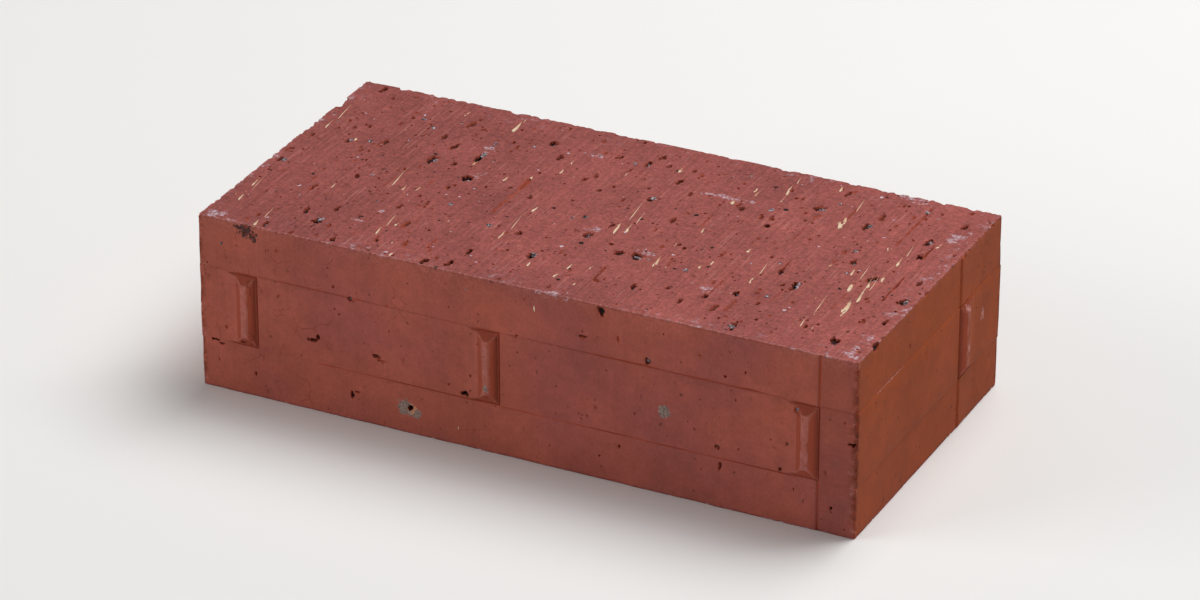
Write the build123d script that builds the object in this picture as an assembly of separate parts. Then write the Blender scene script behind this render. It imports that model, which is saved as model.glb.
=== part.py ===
from build123d import *
import os

# Lugged clay paver: one extruded, wire-cut and fired clay unit, lying flat on its bed face.
# X runs along its length, Y across its width and Z up through its thickness.
# The origin is the middle of the bed face. All sizes are in millimetres.

# Body
LENGTH = 203.0  # between the end faces, along X
WIDTH = 100.0  # between the long faces, along Y
THICKNESS = 54.0  # between the two wire-cut faces, along Z
CORNER_RADIUS = 1.0  # upright corners, as the die rounds them
ARRIS_RADIUS = 0.6  # worn edges of the wire-cut faces

# Pressed sides: above and below a middle band the extruded ribs are rolled flat, which sinks the face
BAND_HEIGHT = 23.0  # band left as it was extruded, at mid thickness
PRESS_DEPTH = 0.25  # from the band's face down to the rolled face

# Spacer lug: the length of rib left in the band, a hipped bar with a steep side and a ramped side
LUG_HEIGHT = 1.5  # crest above the band's face
LUG_LENGTH = 22.0  # along Z, with both hipped ends
LUG_HIP = 3.0  # each hipped end, along Z
LUG_CREST = 1.4  # width of the flat crest
LUG_STEEP_RUN = 2.9  # from the crest to the foot of the steep side
LUG_BACK_RUN = 2.1  # from the crest to the top of the ramp
LUG_RAMP_RUN = 3.8  # from the top of the ramp to its tip
LUG_RAMP_HEIGHT = 0.4  # top of the ramp above the band's face

# Places of the lugs
OUTER_LUG_INSET = 15.0  # crest of an outer lug, from the near end of its long face
MIDDLE_LUG_OFFSET = 10.0  # crest of the middle lug, from the middle of its long face
END_LUG_OFFSET = 20.5  # steep foot of an end lug, from the middle of its end face

# Flattened rib: what the rolling leaves of a rib above and below its lug
RIB_HEIGHT = 0.35  # above the rolled face
RIB_STEEP_RUN = 0.5  # from the rib's edge to the foot of its steep side

# How deep lugs, ribs and the band's bevel are rooted in the body
ROOT = 0.5

LUG_WIDTH = LUG_STEEP_RUN + LUG_CREST + LUG_BACK_RUN + LUG_RAMP_RUN
CREST_FROM_FOOT = LUG_STEEP_RUN + LUG_CREST / 2
MID_THICKNESS = THICKNESS / 2


def column():
    """The clay column cut to thickness, with rounded corners and the band standing out round its sides."""
    rolled_section = RectangleRounded(LENGTH - 2 * PRESS_DEPTH, WIDTH - 2 * PRESS_DEPTH, CORNER_RADIUS)
    rolled = extrude(rolled_section, THICKNESS)
    rolled = fillet(rolled.faces().filter_by(Axis.Z).edges(), ARRIS_RADIUS)
    band_section = RectangleRounded(LENGTH, WIDTH, CORNER_RADIUS + PRESS_DEPTH)
    band = extrude(band_section, BAND_HEIGHT / 2, both=True)
    band = chamfer(band.faces().filter_by(Axis.Z).edges(), PRESS_DEPTH + ROOT)
    return rolled + Pos(0, 0, MID_THICKNESS) * band


def lug():
    """A lug on the plane Y = 0, facing -Y: its steep foot is at X = 0 and its ramp's tip is towards -X."""
    crest_start = -LUG_STEEP_RUN
    crest_end = crest_start - LUG_CREST
    section = Polyline(
        (0, ROOT),
        (0, 0),
        (crest_start, -LUG_HEIGHT),
        (crest_end, -LUG_HEIGHT),
        (crest_end - LUG_BACK_RUN, -LUG_RAMP_HEIGHT),
        (-LUG_WIDTH, 0),
        (-LUG_WIDTH, ROOT),
        close=True,
    )
    bar = extrude(make_face(section), LUG_LENGTH / 2, both=True)
    tip = LUG_LENGTH / 2
    crest_tip = tip - LUG_HIP
    side = Polyline(
        (ROOT, -tip),
        (0, -tip),
        (-LUG_HEIGHT, -crest_tip),
        (-LUG_HEIGHT, crest_tip),
        (0, tip),
        (ROOT, tip),
        close=True,
    )
    hipped = extrude(make_face(Plane.YZ * side), LUG_WIDTH, both=True)
    return bar & hipped


def flattened_rib():
    """A rolled-down rib on the same plane as its lug, with the same steep foot and tip, between the arrises."""
    section = Polyline(
        (0, PRESS_DEPTH + ROOT),
        (0, PRESS_DEPTH),
        (-RIB_STEEP_RUN, PRESS_DEPTH - RIB_HEIGHT),
        (-LUG_WIDTH, PRESS_DEPTH),
        (-LUG_WIDTH, PRESS_DEPTH + ROOT),
        close=True,
    )
    return extrude(make_face(section), MID_THICKNESS - ARRIS_RADIUS, both=True)


def long_face(bar, crest):
    """The bar on the front long face with its crest at X = crest, and again half a turn round on the back."""
    front = Pos(crest + CREST_FROM_FOOT, -WIDTH / 2, MID_THICKNESS) * bar
    return [front, Rot(0, 0, 180) * front]


def end_faces(bar):
    """The bar on both end faces, with its steep side facing the front on each."""
    right = Pos(LENGTH / 2, END_LUG_OFFSET, MID_THICKNESS) * Rot(0, 0, 90) * mirror(bar, about=Plane.YZ)
    left = Pos(-LENGTH / 2, -END_LUG_OFFSET, MID_THICKNESS) * Rot(0, 0, -90) * bar
    return [right, left]


def paver():
    """The fired unit: the column with three lugs on each long face and one on each end."""
    outer_crest = LENGTH / 2 - OUTER_LUG_INSET
    raised = []
    for crest in (-outer_crest, -MIDDLE_LUG_OFFSET, outer_crest):
        raised += long_face(lug(), crest)
    raised += long_face(flattened_rib(), outer_crest)
    raised += end_faces(lug())
    raised += end_faces(flattened_rib())
    unit = column()
    for bar in raised:
        unit += bar
    return unit


os.makedirs("parts", exist_ok=True)
export_step(paver(), "parts/paver.step")
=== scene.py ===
"""One lugged clay paver: its fired body, the grog and iron grains in its clay, and a plain studio stage."""

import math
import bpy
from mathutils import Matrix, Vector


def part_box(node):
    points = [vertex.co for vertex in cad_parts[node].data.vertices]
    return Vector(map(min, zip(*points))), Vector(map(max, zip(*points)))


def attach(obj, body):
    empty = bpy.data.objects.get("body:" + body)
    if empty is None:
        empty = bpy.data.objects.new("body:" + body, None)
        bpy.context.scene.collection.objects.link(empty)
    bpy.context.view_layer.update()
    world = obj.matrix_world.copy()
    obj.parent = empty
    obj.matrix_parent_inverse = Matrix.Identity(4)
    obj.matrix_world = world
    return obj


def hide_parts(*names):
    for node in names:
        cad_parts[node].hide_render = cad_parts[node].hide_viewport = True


bl_info = {
    "name": "Lugged Clay Paver",
    "version": (1, 0, 0),
    "blender": (4, 5, 0),
    "location": "View3D > Sidebar > Paver",
    "description": "Builds a wire-cut, fired clay paver with spacer lugs, and the stage that shows it",
    "category": "Object",
}

from types import SimpleNamespace

import bpy
import numpy as np
from mathutils import Vector

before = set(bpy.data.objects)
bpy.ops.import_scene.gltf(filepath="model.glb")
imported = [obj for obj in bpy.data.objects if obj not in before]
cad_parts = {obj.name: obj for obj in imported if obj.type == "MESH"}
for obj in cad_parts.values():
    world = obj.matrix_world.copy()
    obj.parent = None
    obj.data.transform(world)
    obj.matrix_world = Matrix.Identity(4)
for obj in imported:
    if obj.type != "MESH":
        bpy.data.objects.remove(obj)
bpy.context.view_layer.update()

# Outer size of the CAD solid, with its lugs, in millimetres
PAVER_SIZE = (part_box("paver")[1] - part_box("paver")[0]) * 1000

MM = 0.001
LUG_HEIGHT_MM = 1.5
TRIANGLE_LIMIT = 190000
NOISE_TABLE = 512

# Spacing of the grid lines in millimetres: at edges and spots, across the cut faces and up the sides
CLOSE_STEP = 0.16
CUT_STEP = 0.33
UP_STEP = 0.45

# How far the sunk line round a lug reaches past its steep foot and past its hipped ends, in millimetres
PAST_FOOT = 0.4
PAST_HIP = 0.3

# Grog chips that stand out on the top face: x, y, length along the wire's path and width, in millimetres
GROG_ON_TOP = (
    (-84, -47, 4.5, 1.6), (-62, -14, 7, 1.2), (-97, -25, 4, 1.2), (-96, -34, 6, 1.0), (-51, -36, 5, 1.0),
    (-97, 19, 6, 0.9), (-76, -17, 4, 0.8), (-85, 13, 2, 1.3), (-47, 41, 6.5, 2.0), (-19, -23, 6, 1.0),
    (-4, -36, 3, 1.2), (-22, 20, 3, 1.4), (-22, 27, 3, 1.0), (-28, 13, 2, 1.2), (8, 36, 3.5, 2.0),
    (8, -5, 8, 1.8), (11, -4, 5, 1.4), (27, -19, 7, 1.9), (41, 38, 8, 1.6), (30, 24, 3, 2.0),
    (55, -17, 5, 1.3), (39, -17, 2, 1.6), (30, 4, 3, 1.2), (63, 26, 8, 3.0), (85, -21, 8, 2.8),
    (86, -14, 6, 1.5), (81, -9, 6, 1.7), (85, -6, 4, 1.6), (87, -1, 4, 1.5), (78, -1, 4, 1.4),
    (81, 16, 1.8, 1.4), (87, 10, 5, 1.2), (78, -34, 7, 0.8), (54, 45, 4, 1.6),
)

# Iron grains that stand out on the top face: x, y, width along X and along Y, in millimetres
IRON_ON_TOP = (
    (-69, -37, 3.2, 2.2), (-58, 12, 3.8, 2.6), (-47, 20, 2.6, 3.6), (-43, 4, 4.4, 3.0),
    (-32, 36, 3.2, 2.4), (3, -12, 5.0, 2.2), (-5, -30, 3.6, 2.4), (-2, 36, 2.6, 2.4), (21, -18, 4.6, 2.2),
    (16, -19, 3.6, 1.8), (55, -26, 3.0, 2.0), (55, 31, 4.2, 3.0), (85, -2, 2.6, 1.8), (68, -15, 3.4, 2.6),
    (98, -10, 3.2, 2.4), (91, -41, 3.6, 2.8), (-81, -46, 2.2, 1.8), (90, 26, 3.0, 2.2),
    (-86, 12, 2.0, 1.8), (71, 27, 2.6, 2.0), (9, 16, 2.6, 1.6), (76, 5, 2.2, 1.6), (48, -32, 2.2, 1.4),
    (-97, -8, 2.6, 2.0),
)

# Holes that grains left in the top face: x, y and width, in millimetres
HOLES_ON_TOP = (
    (-89, 20, 1.6), (-81, -20, 1.9), (-75, -34, 2.0), (-68, -29, 2.2), (-65, -40, 1.8), (-60, -46, 2.0),
    (-99, -1, 2.2), (-94, 46, 2.2), (-77, 13, 1.9), (-73, -8, 1.8), (-63, 26, 2.4), (-57, 21, 2.4),
    (-60, 37, 2.6), (-55, 35, 1.8), (-52, 11, 1.9), (-27, 28, 3.2), (-46, -29, 2.8), (-53, -20, 1.7),
    (-24, -45, 2.6), (-31, -48, 2.0), (-14, 18, 1.8), (-12, 22, 1.6), (-15, -20, 1.9), (-22, -36, 2.2),
    (17, -36, 1.9), (0, 41, 2.4), (-7, 13, 1.8), (11, 29, 2.0), (15, 35, 1.9), (17, 24, 2.0),
    (20, 7, 2.4), (34, 22, 2.2), (41, 19, 2.0), (44, 19, 2.0), (45, 15, 2.2), (60, -9, 2.2),
    (41, -7, 1.8), (53, -37, 3.0), (62, -45, 2.8), (28, -35, 2.4), (55, 26, 1.8), (72, 33, 2.6),
    (91, 15, 2.0), (95, 38, 2.0), (92, -26, 1.7), (97, 0, 1.7), (98, -25, 1.7), (6, -5, 1.4),
    (32, 23, 1.6), (57, 43, 1.6), (43, -38, 1.8), (-11, 36, 1.8), (1, -26, 1.7), (54, -3, 1.6),
)

# Grains in the front face: x, height above the bed and width, in millimetres
IRON_IN_FRONT = ((39, 40, 1.5), (60, 19, 1.3), (84, 36, 1.7), (81, 25, 1.0), (-53, 38, 1.2))

# Grooves torn along the wire's path in the top face, in millimetres: x, y of the broad end, y of the thin
# end, width and depth
TORN_GROOVES = (
    (-28, 13, -17, 2.4, 0.5), (16, -37, -26, 0.9, 0.7), (92, -14, 5, 0.8, 0.7), (82, 46, 17, 0.7, 0.5),
    (-63, -12, 12, 0.5, 0.3), (27, -17, -2, 0.5, 0.3), (63, 26, 40, 0.7, 0.4), (48, -30, -12, 0.5, 0.3),
    (56, -38, -30, 1.2, 0.6), (92, 14, 24, 1.6, 0.5), (60, -9, -2, 0.9, 0.6),
)

# Roller's lines on the front face, in millimetres: 1 for the band's upper edge or -1 for its lower, first
# x, last x and depth
FRONT_LINES = ((1, -82, -44, 0.18), (1, 2, 76, 0.24), (-1, -66, 88, 0.36))

# Deep hole in the front face: x, height above the bed, half width and depth, in millimetres
FRONT_HOLE = (-34.5, 8.2, 0.8, 1.8)

# Pins and short cracks in the front face: x, height above the bed, half of its size along each, and depth
FRONT_CRACKS = (
    (-65, 22.5, 1.4, 0.4, 0.9), (-63.5, 24, 0.5, 0.8, 0.9), (-45, 22, 1.3, 0.4, 0.8),
    (-43, 21, 1.5, 0.3, 0.5), (-87, 17, 1.5, 0.4, 0.7), (-97, 15.5, 1.3, 0.4, 1.0),
    (-94.5, 14.5, 1.2, 0.3, 0.6), (-17, 17, 1.1, 0.7, 1.3), (-53, 8, 0.4, 1.1, 0.7),
    (-51.5, 9, 0.8, 0.3, 0.5), (94, 8, 0.5, 0.6, 0.9), (100.2, 29, 1.2, 0.4, 1.3),
    (19, 43, 1.4, 0.4, 0.6), (61, 13, 0.4, 1.4, 0.5), (-84, 7.5, 0.4, 0.7, 0.5),
    (79, 16.5, 0.5, 0.5, 0.8),
)

# Stains and rubbed spots on the sides and smears of salts on the top: colour, middle and reach in
# millimetres.
# Some are painted light: near-black patches in the chip at the front's top-left edge are painted shadow, a
# small pale spot beside a hole on the top is a painted glint, pale spots on the right end lug's crest are
# partly wear and partly painted highlight, and a pale stripe on the band's upper edge there is a painted
# highlight.
STAINS = (
    ("ash", (44, -50, 26), (1.9, 2, 2.0)), ("ash", (-36, -50, 8), (2.8, 2, 2.6)),
    ("ash", (-33, -50, 6.8), (2.2, 2, 1.6)), ("grog_tan", (-33.9, -50, 7.8), (1.5, 2, 1.5)),
    # The iron-coloured patches by x -86 are painted shadow in the front's top-left chip
    ("ash", (-10, -51.4, 20.5), (0.7, 1, 1.2)), ("iron", (-86, -50, 52), (2.6, 2.5, 1.9)),
    ("iron", (-83.5, -50, 50.4), (1.3, 2, 1.5)), ("iron", (-88.5, -50, 52.6), (1.5, 2, 0.7)),
    ("salts_and_glints", (-21, -50, 51), (0.5, 1, 0.5)), ("salts_and_glints", (28, 26, 54), (8.5, 1.6, 2)),
    ("salts_and_glints", (46, -28, 54), (4.5, 2.2, 2)), ("salts_and_glints", (10, -49, 54), (5, 1.6, 2)),
    ("salts_and_glints", (75, 48, 54), (6, 2.6, 2)), ("salts_and_glints", (-97, -47, 54), (5, 3.0, 2)),
    ("salts_and_glints", (-42, 7, 54), (2.6, 2.4, 2)), ("salts_and_glints", (-47, 24, 54), (2.4, 2.6, 2)),
    # The small pale spot at -56, -25 is a painted glint beside a hole
    ("salts_and_glints", (-56, -25, 54), (1.0, 1.2, 2)), ("salts_and_glints", (3, -9, 54), (3.4, 2.0, 2)),
    ("salts_and_glints", (22, -15, 54), (3.6, 2.0, 2)), ("salts_and_glints", (-60, -33, 54), (3.4, 0.7, 2)),
    ("salts_and_glints", (96, 30, 54), (3.2, 5, 2)), ("salts_and_glints", (97, -44, 54), (3.4, 4, 2)),
    # The worn spots at x 103 on the end lug's crest are partly wear and partly painted highlight
    ("salts_and_glints", (-18, 34, 54), (3.4, 1.8, 2)), ("worn", (103, 24.4, 36.5), (1.5, 1.5, 1.5)),
    ("worn", (103, 24.6, 24), (1.5, 1.2, 1.3)), ("worn", (101, 37, 29), (1.5, 1.2, 1.8)),
    # This pale stripe on the band's upper edge at the right end is a painted highlight
    ("worn", (101, -29, 38.6), (1.5, 9, 0.18)),
)

# Chips broken from the top edges: middle of the chip and its reach along X, Y and Z, in millimetres
EDGE_CHIPS = (
    (-86, -50.6, 54.0, 2.6, 1.1, 1.6), (-84, -50.3, 51.4, 1.0, 0.7, 1.6),
    (25, -50.6, 53.0, 1.3, 1.4, 3.0), (24, -50.3, 50.6, 0.7, 0.7, 1.8), (-102.0, 33, 54.2, 2.6, 4.5, 3.0),
    (-102.0, 14, 54.2, 1.8, 3.0, 2.2), (102.0, -38, 54.2, 1.8, 2.6, 2.2),
    (101.8, -50.2, 54.4, 1.4, 1.4, 1.6), (-101.8, -50.2, 54.6, 2.0, 1.6, 1.6),
    (-98, -50.4, 54.6, 3.0, 1.3, 1.3), (36, 50.4, 54.4, 2.0, 1.6, 1.6), (75, 50.6, 54.2, 3.4, 1.7, 1.3),
    (102, 22, 54.4, 1.6, 2.2, 1.8),
)


def linear(hex_colour):
    """Linear RGBA of an sRGB hex colour."""
    shares = [int(hex_colour[place:place + 2], 16) / 255 for place in (0, 2, 4)]
    curve = [share / 12.92 if share <= 0.04045 else ((share + 0.055) / 1.055) ** 2.4 for share in shares]
    return (*curve, 1.0)


def distance(name, description, length):
    """A length that a user may change, given in millimetres and kept in metres."""
    return bpy.props.FloatProperty(
        name=name, description=description, default=length * MM, precision=5,
        subtype="DISTANCE", unit="LENGTH"
    )


def angle(name, description, degrees):
    """An angle that a user may change, given in degrees."""
    return bpy.props.FloatProperty(
        name=name, description=description, default=math.radians(degrees), subtype="ANGLE", unit="ROTATION"
    )


def whole_number(name, description, number):
    """A whole number that a user may change."""
    return bpy.props.IntProperty(name=name, description=description, default=number, min=0)


def quantity(name, description, value, **kind):
    """An amount that a user may change."""
    return bpy.props.FloatProperty(name=name, description=description, default=value, min=0, **kind)


def colour(name, description, hex_colour):
    """A colour that a user may change."""
    return bpy.props.FloatVectorProperty(
        name=name, description=description, default=linear(hex_colour), size=4, min=0, max=1, subtype="COLOR"
    )


class PaverSizes(bpy.types.PropertyGroup):
    """Lengths of the clay body, its pressed sides and its lugs."""

    body_length: distance("Body length", "Between the end faces, along X", PAVER_SIZE.x - 2 * LUG_HEIGHT_MM)
    body_width: distance("Body width", "Between the long faces, along Y", PAVER_SIZE.y - 2 * LUG_HEIGHT_MM)
    thickness: distance("Thickness", "Between the wire-cut faces, along Z", PAVER_SIZE.z)
    edge_radius: distance("Edge radius", "Rounding of the worn edges", 0.8)
    band_height: distance("Band height", "Middle band left as it was extruded", 23.0)
    press_depth: distance("Press depth", "From the band down to the rolled faces", 0.25)
    lug_height: distance("Lug height", "Crest above the band", LUG_HEIGHT_MM)
    lug_length: distance("Lug length", "Along Z, with both hipped ends", 22.0)
    lug_hip: distance("Lug hip", "Each hipped end, along Z", 3.0)
    lug_crest: distance("Lug crest", "Width of the flat crest", 1.4)
    lug_steep_run: distance("Lug steep run", "From the crest to the foot of the steep side", 2.9)
    lug_back_run: distance("Lug back run", "From the crest to the top of the ramp", 2.1)
    lug_ramp_run: distance("Lug ramp run", "From the top of the ramp to its tip", 3.8)
    lug_ramp_height: distance("Lug ramp height", "Top of the ramp above the band", 0.4)
    outer_lug_inset: distance("Outer lug inset", "Crest of an outer lug from the end of its face", 15.0)
    middle_lug_offset: distance("Middle lug offset", "Crest of the middle lug from the middle", 10.0)
    end_lug_offset: distance("End lug offset", "Steep foot of an end lug from the middle", 20.5)
    rib_height: distance("Rib height", "Flattened rib above the rolled face", 0.35)
    rib_steep_run: distance("Rib steep run", "From the rib's edge to its steep foot", 0.5)


class PaverColours(bpy.types.PropertyGroup):
    """Colours of the clay, of what is in it and of the floor."""

    wire_cut: colour("Wire-cut clay", "Top and bottom faces", "99504A")
    die_skin: colour("Die skin", "Long faces, smoothed by the die", "A35342")
    flushed: colour("Flushed clay", "Purple clouds that the kiln leaves on the clay", "8F4A46")
    # The ends are orange-brown, the right end fully and the left end less
    end_skin: colour("End skin", "End faces, flashed orange-brown by the kiln", "9C4720")
    # Darker red on the lugs' slopes and in the shallowest hollows, partly the clay's colour and partly
    # painted shade
    fresh_clay_and_shade: colour("Fresh clay", "Slopes of the lugs, where nothing rubs", "A2472F")
    # Dark red: painted shade in hollows and on the lugs' hips, back slopes and steep feet; also dark specks,
    # cracks and broken corners
    hollow: colour("Hollows", "Fresh clay inside pits, grooves and chips", "74301F")
    # Near black: painted shadow at the bottom of deep holes; also black specks
    deep: colour("Deep hollows", "Burnt clay at the bottom of holes", "1C0B09")
    # Pale rubbed clay; on the lugs' crests and hip ridges partly painted highlight, and on one band edge a
    # painted highlight
    worn: colour("Worn clay", "Rubbed edges and crests", "BE7E76")
    # Pale salts, smears and specks; the same colour paints the glints on the iron grains and one beside a
    # hole
    salts_and_glints: colour("Bloom", "Pale salts, smears and glints", "CDB9C4")
    grog: colour("Grog", "Crushed fired clay, cut by the wire", "F2E2C2")
    grog_tan: colour("Tan grog", "Grog drawn out in the clay by the wire", "C68A68")
    iron: colour("Iron grain", "Melted iron grain, in its dark parts", "241C1E")
    iron_grey: colour("Grey iron grain", "Skin of an iron grain", "73686C")
    ash: colour("Ash", "Grey inclusions in the front face", "83756D")
    floor: colour("Floor", "Plain pale studio floor", "F2F1EF")


class PaverGrains(bpy.types.PropertyGroup):
    """How much is in the clay and broken from it."""

    seed: whole_number("Seed", "Start of every random choice", 11)
    pits: whole_number("Pits", "Small pits torn in each wire-cut face", 620)
    drag_lines: whole_number("Drag lines", "Thin grooves torn in each wire-cut face", 36)
    pinholes: whole_number("Pinholes", "Small holes in each long side", 70)
    end_pinholes: whole_number("End pinholes", "Small holes in each end", 8)
    grog_density: quantity("Grog density", "Small grog chips in each square metre of a wire-cut face", 5000)
    iron_density: quantity("Iron density", "Small iron grains in each square metre of a wire-cut face", 6000)


class PaverStage(bpy.types.PropertyGroup):
    """Where the camera stands and how strong the lamps are."""

    azimuth: angle("Azimuth", "Camera's turn from the front to the right", 26.3)
    elevation: angle("Elevation", "Camera's angle above the floor", 27.2)
    distance: distance("Distance", "Camera from the paver's middle", 1508.0)
    lens: bpy.props.FloatProperty(name="Lens", description="Focal length in millimetres", default=160, min=1)
    key_power: quantity("Key power", "Soft key lamp, above and behind", 24, subtype="POWER", unit="POWER")
    fill_power: quantity("Fill power", "Soft fill lamp, low at the left", 16, subtype="POWER", unit="POWER")
    sky: quantity("Sky", "Even light from all round", 0.15)


def millimetres(group):
    """The lengths of a property group, in millimetres."""
    return SimpleNamespace(**{name: getattr(group, name) / MM for name in group.__annotations__})


def ease(share):
    """Smooth step from 0 to 1."""
    return share * share * (3 - 2 * share)


def wander(u, v, cell_u, cell_v, seed):
    """Smooth random heights between -1 and 1 over the places u and v, with cells of the given size."""
    table = np.random.default_rng(seed).uniform(-1, 1, (NOISE_TABLE, NOISE_TABLE))
    column = np.floor(u / cell_u).astype(int)
    row = np.floor(v / cell_v).astype(int)
    across = ease(u / cell_u - column)
    along = ease(v / cell_v - row)
    near_u = column % NOISE_TABLE
    far_u = (column + 1) % NOISE_TABLE
    near_v = row % NOISE_TABLE
    far_v = (row + 1) % NOISE_TABLE
    first = table[near_u, near_v] * (1 - across) + table[far_u, near_v] * across
    last = table[near_u, far_v] * (1 - across) + table[far_u, far_v] * across
    return first * (1 - along) + last * along


def grid_lines(low, high, step, spots, creases):
    """Places of the grid lines across a face: close at its edges and at the spots, and one on each crease."""
    samples = 4001
    close_reach = 0.8
    growth = 0.15
    places = np.linspace(low, high, samples)
    from_spot = np.min(np.abs(places[:, None] - np.array((low, high) + spots)), axis=1)
    spacing = np.clip(CLOSE_STEP + growth * (from_spot - close_reach), CLOSE_STEP, step)
    count = np.concatenate(((0,), np.cumsum(np.diff(places) / spacing[1:])))
    lines = np.interp(np.linspace(0, count[-1], round(count[-1]) + 1), count, places)
    for crease in creases:
        lines[np.argmin(np.abs(lines - crease))] = crease
    return lines


def box_shell(counts):
    """Grid places of a closed box's corner points, and its four-sided faces, pointing outwards."""
    corners = []
    for axis in range(3):
        second = (axis + 1) % 3
        third = (axis + 2) % 3
        for level in (0, counts[axis]):
            b, c = np.meshgrid(np.arange(counts[second]), np.arange(counts[third]), indexing="ij")
            steps = ((0, 0), (1, 0), (1, 1), (0, 1))
            if level == 0:
                steps = steps[::-1]
            quads = np.empty((b.size, 4, 3), dtype=np.int64)
            for corner, (step_b, step_c) in enumerate(steps):
                quads[:, corner, axis] = level
                quads[:, corner, second] = b.ravel() + step_b
                quads[:, corner, third] = c.ravel() + step_c
            corners.append(quads)
    corners = np.concatenate(corners)
    codes = (corners[..., 0] * (counts[1] + 1) + corners[..., 1]) * (counts[2] + 1) + corners[..., 2]
    codes, faces = np.unique(codes, return_inverse=True)
    places = np.stack((
        codes // ((counts[1] + 1) * (counts[2] + 1)),
        codes // (counts[2] + 1) % (counts[1] + 1),
        codes % (counts[2] + 1),
    ), axis=1)
    return places, faces.reshape(-1, 4)


def dent(depths, u, v, middle, half, depth, seed):
    """Sinks a ragged bowl with steep walls into a face's depths."""
    window = 1.6
    columns = slice(*np.searchsorted(u, (middle[0] - window * half[0], middle[0] + window * half[0])))
    rows = slice(*np.searchsorted(v, (middle[1] - window * half[1], middle[1] + window * half[1])))
    place_u = u[columns, None]
    place_v = v[None, rows]
    out = np.hypot((place_u - middle[0]) / half[0], (place_v - middle[1]) / half[1])
    out = out * (1 + 0.5 * wander(place_u, place_v, 0.6, 0.8, seed))
    bowl = depth * np.clip(1.3 * (1 - out ** 5), 0, 1)
    depths[columns, rows] = np.maximum(depths[columns, rows], bowl)


def torn_hole(depths, u, v, middle, half, depth, seed):
    """Sinks a hole of three overlapping bowls, as a grain leaves when the wire tears it out."""
    picks = np.random.default_rng(seed)
    for lobe in range(3):
        place = np.array(middle) + picks.uniform(-0.6, 0.6, 2) * half
        lobe_half = np.array(half) * picks.uniform(0.35, 0.75, 2)
        dent(depths, u, v, place, lobe_half, depth * picks.uniform(0.5, 1), seed + lobe)


def groove(depths, u, v, x, start, end, width, depth, seed):
    """Tears a groove along the wire's path, broad where it starts and thin where it ends."""
    columns = slice(*np.searchsorted(u, (x - 2 * width, x + 2 * width)))
    rows = slice(*np.searchsorted(v, (min(start, end), max(start, end))))
    place_u = u[columns, None]
    place_v = v[None, rows]
    share = (place_v - start) / (end - start)
    taper = np.clip(share / 0.06, 0, 1) * (1 - 0.75 * share)
    taper = taper * (1 + 0.35 * wander(place_u * 0, place_v, 1.0, 1.6, seed))
    drift = 0.25 * width * wander(place_u * 0, place_v, 1.0, 5.0, seed + 1)
    out = np.abs(place_u - x - drift) / (0.5 * width * np.maximum(taper, 0.05))
    floor = 1 + 0.4 * wander(place_u, place_v, 0.6, 2.0, seed + 2)
    trench = depth * floor * np.clip(1 - out ** 3, 0, 1) * np.clip(taper * 2, 0, 1)
    depths[columns, rows] = np.maximum(depths[columns, rows], trench)


def random_place(picks, u, v, margin):
    """A random place on a face, away from its edges."""
    return picks.uniform(u[0] + margin, u[-1] - margin), picks.uniform(v[0] + margin, v[-1] - margin)


def pit_half(picks):
    """Half the width of a small pit. Most are close to the least width."""
    return 0.17 + 0.4 * picks.random() ** 4


def wire_cut_heights(u, v, grains, seed, landmarks):
    """Heights of a wire-cut face: slow waves, drag lines along Y, torn pits, and the top's placed marks."""
    place_u = u[:, None]
    place_v = v[None, :]
    field = 0.08 * wander(place_u, place_v, 30, 30, seed)
    field = field + 0.05 * wander(place_u, place_v, 3.0, 50, seed + 1)
    field = field + 0.03 * wander(place_u, place_v, 1.1, 18, seed + 2)
    field = np.minimum(field - 0.12, 0)
    depths = np.zeros_like(field)
    picks = np.random.default_rng(seed + 3)
    margin = 1.5
    for pit in range(grains.pits):
        middle = random_place(picks, u, v, margin)
        across = pit_half(picks)
        along = across * picks.uniform(1.0, 2.6)
        dent(depths, u, v, middle, (across, along), picks.uniform(0.3, 0.9), seed + 10 + pit)
    for line in range(grains.drag_lines):
        x = picks.uniform(u[0] + 3, u[-1] - 3)
        begin = picks.uniform(v[0] + 2, v[-1] - 22)
        finish = begin + picks.uniform(4, 20)
        width = picks.uniform(0.4, 0.8)
        groove(depths, u, v, x, begin, finish, width, picks.uniform(0.15, 0.32), seed + 600 + line)
    if landmarks:
        for number, (x, y, width, run) in enumerate(IRON_ON_TOP):
            middle = (x - 0.2 * width, y - 0.3 * run)
            torn_hole(depths, u, v, middle, (0.42 * width, 0.95 * run), 1.3, seed + 700 + 3 * number)
        for number, (x, y, width) in enumerate(HOLES_ON_TOP):
            depth = 0.7 + 0.25 * (number % 4)
            torn_hole(depths, u, v, (x, y), (0.4 * width, 0.9 * width), depth, seed + 800 + 3 * number)
        for number, (x, begin, finish, width, depth) in enumerate(TORN_GROOVES):
            groove(depths, u, v, x, begin, finish, width, depth, seed + 1000 + number)
    else:
        for hole in range(len(HOLES_ON_TOP)):
            middle = random_place(picks, u, v, margin)
            half = picks.uniform(0.7, 1.3)
            torn_hole(depths, u, v, middle, (0.9 * half, 1.6 * half), 1.4, seed + 800 + 3 * hole)
    edge = np.minimum.outer(np.minimum(u - u[0], u[-1] - u), np.minimum(v - v[0], v[-1] - v))
    return (field - depths) * np.clip((edge - 0.4) / 0.8, 0, 1)


def steep_feet(size):
    """X of the steep feet of the front face's three lugs."""
    outer = size.body_length / 2 - size.outer_lug_inset
    to_foot = size.lug_steep_run + size.lug_crest / 2
    return -outer + to_foot, -size.middle_lug_offset + to_foot, outer + to_foot


def lug_runs(size):
    """Distances of the creases of a lug's section from its steep foot."""
    return np.cumsum((0, size.lug_steep_run, size.lug_crest, size.lug_back_run, size.lug_ramp_run))


def lug_section(inward, size):
    """Heights of a lug's section at these distances from its steep foot towards its ramp."""
    return np.interp(inward, lug_runs(size), (0, size.lug_height, size.lug_height, size.lug_ramp_height, 0))


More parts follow.
